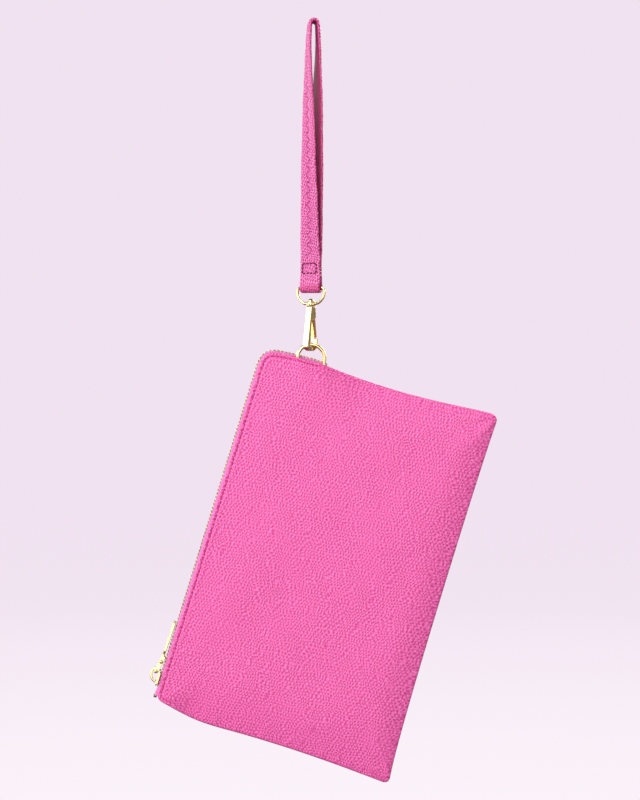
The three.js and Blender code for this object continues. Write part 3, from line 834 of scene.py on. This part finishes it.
def bridge_mesh():
    """The looped strip on the slider that the pull hangs on, rounded across."""
    foot, high, half = 3.8, 8.65, 5.25
    line = joined(
        bezier([(-foot, 0.65 - half), (-high, 0.65 - half), (-high - 0.1, half * 0.4),
                (-high + 0.9, half * 0.55)], 26),
        bezier([(-high + 0.9, half * 0.55), (-high + 1.6, half - 0.65), (-foot, half - 0.65)], 16),
    )
    angle = full_circle(20)
    thin = 0.75 * boxy(np.cos(angle), 0.6)
    wide = 1.2 * boxy(np.sin(angle), 0.6)
    points, faces = strip(evenly(line, 0.3), thin, wide, upright)
    return points + (0, 0, BRIDGE_W), faces


piece("slider_bridge_strip", bridge_mesh(), POUCH, "slider", GOLD, ["slider_bridge"])


def link_frame(start, end):
    """A frame at "start" in the pouch's plane, with its own Z towards "end"."""
    lean = math.atan2(end[0] - start[0], end[1] - start[1])
    return POUCH @ local_frame((start[0], 0, start[1]), about_y=lean)


LINK = link_frame(LOWER_PIN, UPPER_PIN)
LINK_LENGTH = math.dist(LOWER_PIN, UPPER_PIN)
for side, where in SIDES:
    top = LINK_LENGTH + 3.24
    outline = joined(arc((0, 0), 1.6, 180, 360, 18), [(1.5, 2.0), (1.36, top - 0.4)],
                     arc((0, top - 0.4), 1.36, 0, 180, 16), [(-1.36, top - 0.4), (-1.5, 2.0)])
    low, high = sorted((side * 1.9, side * 2.9))
    plate = piece(f"link_plate_{where}", slab(outline, low, high), LINK, "pull_connector", GOLD,
                  [f"connector_plate_{where}"], bevel=(0.28, 3))
    holes = [bore(0.95, 4, centre=(0, 0, z)) for z in (0, LINK_LENGTH)]
    with_holes(plate, LINK, *holes)
for place, name in ((LOWER_PIN, "lower"), (UPPER_PIN, "upper")):
    half = dome(1.3, 0.75, 3.18, 8)
    profile = [(r, -h) for r, h in half[::-1]] + [(0.7, -3.18), (0.7, 3.18)] + half
    piece(f"link_pin_{name}", revolved(profile, "Y", (place[0], 0, place[1]), 32), POUCH, "pull_connector",
          GOLD, [f"connector_pin_{name}"], sharp=50)


def pull_mesh(length):
    """The flat bar's outline, across the pouch's depth: a neck, a shoulder and a rounded tip."""
    right = joined([(1.5, -0.6), (1.5, 5.2)], bezier([(1.5, 5.2), (2.75, 6.2), (2.8, 8.0)], 10),
                   [(2.8, 8.0), (2.8, length - 2.4)],
                   bezier([(2.8, length - 2.4), (2.7, length), (0, length)], 12))
    outline = np.concatenate([right, right[::-1][1:] * (-1, 1)])
    return slab(outline, -0.8, 0.8, placed=edgewise)


PULL = link_frame(UPPER_PIN, PULL_TIP)
eye = revolved([(0.98, -1.45), (1.3, -1.5), (1.5, -1.25), (1.5, 1.25), (1.3, 1.5), (0.98, 1.45)], "Y",
               (0, 0, 0), 32, ring=True)
bar = piece("pull_tab", pull_mesh(math.dist(UPPER_PIN, PULL_TIP)), PULL, "pull_bar", GOLD, ["pull_bar"],
            bevel=(0.3, 3))
with_holes(bar, PULL, bore(1.2, 4))
piece("pull_eye", eye, PULL, "pull_bar", GOLD)


# ---- Pouch ring and its leather tab ----
RING_RADIUS = 9.0
RING_LEG = 8.0
RING_CORNER = 2.2
ring_path = joined(
    arc((0, 0), RING_RADIUS, 0, 180, 40),
    [(-RING_RADIUS, 0), (-RING_RADIUS, RING_CORNER - RING_LEG)],
    arc((RING_CORNER - RING_RADIUS, RING_CORNER - RING_LEG), RING_CORNER, 180, 270, 12),
    [(RING_CORNER - RING_RADIUS, -RING_LEG), (RING_RADIUS - RING_CORNER, -RING_LEG)],
    arc((RING_RADIUS - RING_CORNER, RING_CORNER - RING_LEG), RING_CORNER, 270, 360, 12),
    [(RING_RADIUS, RING_CORNER - RING_LEG), (RING_RADIUS, -0.05)],
)
ring_path = evenly(ring_path, 0.5, looped=True)
piece("pouch_ring_wire", tube(upright(ring_path), 1.25, sides=28, looped=True), RING, "pouch_ring", GOLD,
      ["pouch_ring"])


def tab_mesh():
    """A folded leather strip round the ring's bar, with rounded long edges."""
    radius, thick = 1.88, 0.6
    half_turn = arc((0, 0), radius, 205, -25, 26)
    line = joined([(-0.46, -12), (-0.46, -3.2)], bezier([(-0.46, -3.2), (-0.6, -2.2), half_turn[0]], 8),
                  half_turn, bezier([half_turn[-1], (0.6, -2.2), (0.46, -3.2)], 8),
                  [(0.46, -3.2), (0.46, -12)])
    angle = full_circle(36)
    wide = 7.0 * boxy(np.cos(angle), 0.25)
    thin = thick / 2 * boxy(np.sin(angle), 0.5)
    points, faces = strip(evenly(line, 0.4), thin, wide, edgewise)
    return points + (0, 0, -RING_LEG), faces


piece("ring_tab_leather", tab_mesh(), RING, "pouch", STRAP_LEATHER, ["ring_tab"], sharp=60)


# ---- Clasp ring with its collar ----
def clasp_ring_mesh():
    """A wire loop with a straight bar, brazed to the collar that the swivel turns in."""
    right = [(2.3, -10.7), (5.4, -10.0), (8.5, -6.95), (9.7, -3.4), (9.3, -0.9), (7.9, 0)]
    left = [(-x, z) for x, z in right[::-1]]
    loop = evenly(through([*right, (4, 0), (0, 0), (-4, 0), *left], 10), 0.4)
    collar = [(1.5, -1.35), (1.65, -1.5), (2.8, -1.5), (3.0, -1.3), (3.0, 1.3), (2.8, 1.5), (1.65, 1.5),
              (1.5, 1.35)]
    barrel = revolved(collar, "Z", (0, 0, -10.7), 48, ring=True)
    return together(tube(upright(loop), 0.9, sides=24), barrel)


piece("clasp_ring_wire", clasp_ring_mesh(), CLASP, "clasp_ring", GOLD, ["clasp_ring"], sharp=50)

rivet = [(1.2, -1.6), (1.2, 3.6), *dome(2.15, 1.75, 3.72, 10)]
piece("swivel_rivet_head", revolved(rivet, sides=48), HOOK, "hook", GOLD, ["swivel_rivet"],
      sharp=45)


# ---- Hook and gate ----
GATE_PIVOT = (1.1, -4.2)
GATE_AXLE = (1.1, 0, -4.2)


def hook_outline():
    """The hook's side: a straight spine, a round foot and a short tip that the gate closes on."""
    return joined(
        [(-2.3, 0), (-6.1, -24)],
        bezier([(-6.1, -24), (-6.6, -27.6), (-4.2, -29.4), (-1, -29.4)], 16),
        bezier([(-1, -29.4), (2.6, -29.4), (4.9, -27.4), (4.7, -24)], 16),
        [(4.7, -24), (4.6, -20.9), (3.3, -20.9), (3.3, -25.2)],
        bezier([(3.3, -25.2), (3.3, -26.9), (1.6, -26.9)], 8),
        [(1.6, -26.9), (-1.6, -26.9)],
        bezier([(-1.6, -26.9), (-3.3, -26.9), (-3.3, -25.2)], 8),
        [(-3.3, -25.2), (-1.4, -9.5), (2.9, -7.5), (2.4, 0)],
    )


hook_piece = piece("hook_casting", slab(hook_outline(), -2.2, 2.2), HOOK, "hook", GOLD, ["hook_body"],
                   sharp=35, bevel=(0.5, 4))
with_holes(hook_piece, HOOK, bore(1.5, 1.9, "Z", sides=32), box_mesh((-0.9, -1.5, -12), (6, 1.5, -2.4)),
           bore(0.9, 6, centre=GATE_AXLE, sides=32))


def gate_outline():
    """The gate's side: a round head on the pivot and a bar that tapers to the hook's tip."""
    return joined(
        arc(GATE_PIVOT, 1.6, 180, 36, 14),
        [(2.39, -3.26), (4.5, -20.2), (3.0, -20.4), (2.9, -21.4), (1.9, -21.4), (0.6, -8), (-0.5, -4.2)],
    )[:-1]


# The gate takes the warmer, darker copy of the gold, a painted reflection.
gate_piece = piece("gate_bar", slab(gate_outline(), -1.2, 1.2), HOOK, "gate", GATE_REFLECTION_GOLD, ["gate"],
                   sharp=35, bevel=(0.25, 3))
with_holes(gate_piece, HOOK, box_mesh((-1, 0.1, -6), (3.2, 1.4, -2)),
           bore(0.9, 3, centre=GATE_AXLE, sides=28))
pin_end = [(0.45, 2.2), (0.6, 2.05)]
pin = [(r, -h) for r, h in pin_end] + pin_end[::-1]
piece("gate_pin_rod", revolved(pin, "Y", GATE_AXLE, 28), HOOK, "hook", GOLD,
      ["gate_pin"], sharp=35)
turns = np.linspace(0, 2 * math.pi * 2.6, 80)
coil = np.stack([GATE_PIVOT[0] + 1.2 * np.cos(turns), 0.55 + 0.21 * turns / (2 * math.pi),
                 GATE_PIVOT[1] + 1.2 * np.sin(turns)], axis=1)
piece("gate_coil_spring", tube(coil, 0.11, sides=8), HOOK, "hook", ZIP_METAL, ["gate_spring"])


# ---- Wrist strap: one folded band with a zigzag seam ----
STRAP_HALF = 7.25
STRAP_THICK = 2.2
# Down the strap from the loop's top: height, turn of the band's face, leg spacing.
STRAP_ROWS = np.array([
    (-1.5, 84, 5), (-15, 81, 6.3), (-30, 75, 6.5), (-55, 62, 6.5), (-90, 50, 6.2), (-125, 39, 5.2),
    (-150, 31, 3.6), (-160, 28, 2.6), (-168, 26, 2.6), (-175.5, 24, 4.4),
])
DARK_RIM = 4  # faces round each edge that have the darker rim colour
HEM_SHADE = 5.2  # the length at the foot that has the darker colour all round, as painted shade where the band turns under
ZIGZAG_PITCH = 6.7
ZIGZAG_REACH = 2.15


def strap_stations():
    """Stations from the front leg's foot round the whole band: middle, across and outward directions."""
    rows = evenly(through(STRAP_ROWS, 12), 0.6)
    top_z, top_yaw, top_spacing = rows[0]
    foot_yaw = rows[-1, 1]
    bend = 2.3
    keys = [(z, yaw, -spacing / 2, 0.0) for z, yaw, spacing in rows[::-1]]
    keys += [(top_z + top_spacing / 2 * math.sin(a), top_yaw, -top_spacing / 2 * math.cos(a), a)
             for a in np.linspace(0, math.pi, 14)[1:-1]]
    keys += [(z, yaw, spacing / 2, math.pi) for z, yaw, spacing in rows]
    keys += [(BAR_Z - bend * math.sin(a), foot_yaw, bend * math.cos(a), math.pi + a)
             for a in np.linspace(0, math.pi, 14)[1:-1]]
    keys = np.array(keys)
    yaw = np.radians(keys[:, 1])
    back = np.stack([np.sin(yaw), np.cos(yaw), 0 * yaw], axis=1)
    across = np.stack([np.cos(yaw), -np.sin(yaw), 0 * yaw], axis=1)
    outward = -np.cos(keys[:, 3])[:, None] * back + np.sin(keys[:, 3])[:, None] * np.array([0, 0, 1.0])
    middle = np.stack([CLASP_X * keys[:, 0] / BAR_Z, 0 * yaw, keys[:, 0]], axis=1) + back * keys[:, 2, None]
    along = np.concatenate([[0], np.cumsum(np.linalg.norm(np.diff(middle, axis=0), axis=1))])
    return middle, across, outward, along


def zigzag(along):
    """Where the zigzag seam stands across the band."""
    share = (along / ZIGZAG_PITCH) % 1
    return ZIGZAG_REACH * (1 - 4 * np.abs(share - 0.5))


def strap_lift(x, along, plain):
    """The outer face's height over the band's middle: two soft lobes, a seam valley and slight creases."""
    rim = np.sqrt(np.clip(1 - (np.abs(x) / STRAP_HALF) ** (7 + 9 * plain), 0, 1))
    lobes = (0.42 * bump_at(np.abs(x), 4.7, 1.7) - 0.1 * bump_at(x, 0, 2.4)) * (1 - 0.8 * plain)
    seam = 0.55 * np.exp(-(((x - zigzag(along)) / 0.75) ** 2)) * (1 - plain)
    creases = 0.08 * np.sin(along / 2.3 + x / 3.1) + 0.06 * np.sin(along / 1.1 - x / 1.7)
    return STRAP_THICK / 2 * rim + (lobes - seam + creases) * rim


def strap_mesh():
    """The whole band, and which of its faces have the backing and which the darker rims and the hem's
    painted shade.
    """
    middle, across, outward, along = strap_stations()
    plain = 1 - smoothstep(np.minimum(along, along[-1] - along - 5), 16, 19)
    outer_x = np.sin(np.linspace(-math.pi / 2, math.pi / 2, 47)) * STRAP_HALF
    inner_x = np.sin(np.linspace(math.pi / 2, -math.pi / 2, 17))[1:-1] * STRAP_HALF
    rings = []
    for k in range(len(middle)):
        wobble = 0.12 * math.sin(along[k] / 7.1) + 0.07 * math.sin(along[k] / 2.9)
        outer_lift = strap_lift(outer_x, along[k], plain[k])
        inner_lift = -STRAP_THICK / 2 * np.sqrt(np.clip(1 - (np.abs(inner_x) / STRAP_HALF) ** 7, 0, 1))
        x = np.concatenate([outer_x, inner_x])
        lift = np.concatenate([outer_lift, inner_lift])
        x = x + wobble * (np.abs(x) > 5)
        rings.append(middle[k] + across[k] * x[:, None] + outward[k] * lift[:, None])
    mesh = loft(rings, looped=True)
    sides = len(outer_x) + len(inner_x)
    side = np.arange(sides)
    first_of_ring = np.arange(len(middle)) * sides
    is_outer = (side >= DARK_RIM) & (side < len(outer_x) - 1 - DARK_RIM)
    is_inner = (side > len(outer_x)) & (side < sides - 2)
    backing = np.add.outer(first_of_ring, side[is_inner]).ravel()
    rims = np.add.outer(first_of_ring, side[~is_outer & ~is_inner]).ravel()
    # The hem at the foot is painted darker all round, as shade where the band turns under.
    hem = np.add.outer(first_of_ring[along > along[-1] - HEM_SHADE], side).ravel()
    return mesh, backing, np.union1d(rims, hem)


def on_strap(x, station_at, lift):
    """Points on the band's outer face from distances across and lengths along it."""
    middle, across, outward, along = strap_stations()
    place = [np.stack([np.interp(station_at, along, field[:, axis]) for axis in range(3)], axis=1)
             for field in (middle, across, outward)]
    return place[0] + place[1] * x[:, None] + place[2] * lift[:, None]


def zigzag_mesh(first, last):
    """The zigzag seam's thread: one stitch for each straight run."""
    half = ZIGZAG_PITCH / 2
    stitches = []
    for k in range(math.ceil(first / half), math.floor(last / half)):
        at = np.linspace(k * half + 0.25, (k + 1) * half - 0.25, 9)
        x = zigzag(at)
        lift = strap_lift(x, at, 0.0) + 0.12 - 0.3 * np.linspace(-1, 1, 9) ** 4
        stitches.append(thread(on_strap(x, at, lift), 0.4))
    return together(*stitches)


def box_stitch_mesh():
    """The box seam that closes the strap's foot: four rows of short stitches through both legs."""
    corners = np.array([(-5.2, 8.3), (4.9, 8.3), (4.9, 14.8), (-5.2, 14.8), (-5.2, 8.3)])
    stitches = []
    for start, end in zip(corners, corners[1:]):
        count = max(2, round(np.linalg.norm(end - start) / 2.5))
        for k in range(count):
            share = (k + np.linspace(0.18, 0.82, 8)) / count
            line = start + (end - start) * share[:, None]
            lift = strap_lift(line[:, 0], line[:, 1], 1.0) + 0.1 - 0.34 * np.linspace(-1, 1, 8) ** 4
            stitches.append(thread(on_strap(line[:, 0], line[:, 1], lift), 0.5))
    return together(*stitches)


band, backing_faces, rim_and_hem_shade_faces = strap_mesh()
piece("strap_band", band, WORLD, "strap", STRAP_LEATHER, ["strap"], sharp=60,
      others=[(STRAP_BACKING, backing_faces), (STRAP_DARK_RIMS_AND_HEM_SHADE, rim_and_hem_shade_faces)])
strap_length = strap_stations()[3][-1]
piece("strap_zigzag_stitches", zigzag_mesh(19, strap_length - 24), WORLD, "strap", ZIGZAG_THREAD)
piece("strap_box_stitches", box_stitch_mesh(), WORLD, "strap", BOX_THREAD)


# ---- Floor, lights and camera ----
def stage_mesh():
    """A round floor that curves up into a wall all round, so that each view has a plain pale background."""
    floor, flat, curve, top = -640, 2600, 700, 3200
    wall = flat + curve
    profile = joined([(1, floor), (flat, floor)], arc((flat, floor + curve), curve, 270, 360, 20),
                     [(wall, floor + curve), (wall, top)])
    angle = full_circle(64)
    rings = [np.stack([r * np.cos(angle), r * np.sin(angle), np.full(64, z)], axis=1) for r, z in profile]
    points, faces = loft(rings)
    return points, faces[:-1]


# The paper glows and catches no light, so that no lamp draws an edge on it; its glow is a little brighter
# on the floor under the wallet, a painted pool of light.
paper = Finish("backdrop_paper", 1.0, specular=0.0)
reach = paper.node("ShaderNodeVectorMath", {0: paper.place}, operation="LENGTH").outputs["Value"]
reach = paper.maths("MULTIPLY_ADD", reach, 0.3, paper.maths("MULTIPLY", paper.noise(900), 0.03))
paper.into("Emission Color", paper.ramp(reach, (0.2, colour(252, 244, 251)), (0.95, colour(240, 226, 240))))
paper.shader.inputs["Base Color"].default_value = (0, 0, 0, 1)
paper.shader.inputs["Emission Strength"].default_value = 1.0
backdrop = linked("backdrop", raw_mesh("backdrop", stage_mesh(), WORLD))
backdrop.data.materials.append(paper.material)
backdrop.data.shade_smooth()
# The wallet is lit by the lamps and the world alone, so that its metal keeps dark and light reflections.
backdrop.visible_diffuse = False
backdrop.visible_glossy = False
backdrop.visible_shadow = False


MIDDLE_OF_WALLET = Vector((0.0, 0.0, -0.3))


def softbox(name, place, size, power, tint=(1, 1, 1)):
    """A rectangular studio light, aimed at the wallet. Places in metres and power in watts."""
    light = bpy.data.lights.new(name, "AREA")
    light.shape = "RECTANGLE"
    light.size, light.size_y = size
    light.energy = power
    light.color = tint
    lamp = linked(name, light)
    lamp.location = place
    aim = MIDDLE_OF_WALLET - Vector(place)
    lamp.rotation_euler = aim.to_track_quat("-Z", "Y").to_euler()
    lamp.visible_camera = False


softbox("key_light", (-0.9, -1.3, 0.6), (0.9, 1.2), 21)
softbox("front_light", (-0.3, -1.75, 0.0), (1.3, 1.9), 16.5)
softbox("fill_light", (1.3, -1.0, -0.1), (0.7, 1.4), 6)
softbox("top_light", (0.1, 0.2, 1.1), (1.2, 0.8), 7)
softbox("side_light", (-1.25, -0.3, -0.2), (0.5, 1.3), 9.5)
softbox("back_light", (1.0, 1.4, 0.5), (0.9, 1.2), 20)
softbox("warm_card", (1.33, 0.9, -0.2), (1.0, 1.4), 3.2, tint=(1, 0.8, 0.6))
softbox("back_fill_light", (-1.2, 1.2, 0.0), (0.9, 1.4), 11)

world = bpy.data.worlds.new("studio")
world.use_nodes = True
sky = world.node_tree.nodes["Background"].inputs
sky["Color"].default_value = (0.95, 0.93, 0.96, 1)
sky["Strength"].default_value = 0.2
bpy.context.scene.world = world
bpy.context.scene.view_settings.view_transform = "Standard"

lens = bpy.data.cameras.new("camera")
lens.lens = 100
lens.sensor_width = 36
camera = linked("camera", lens)
camera.location = (0.00427, -1.4815, -0.25167)
camera.rotation_euler = (math.pi / 2, 0, 0)
bpy.context.scene.camera = camera
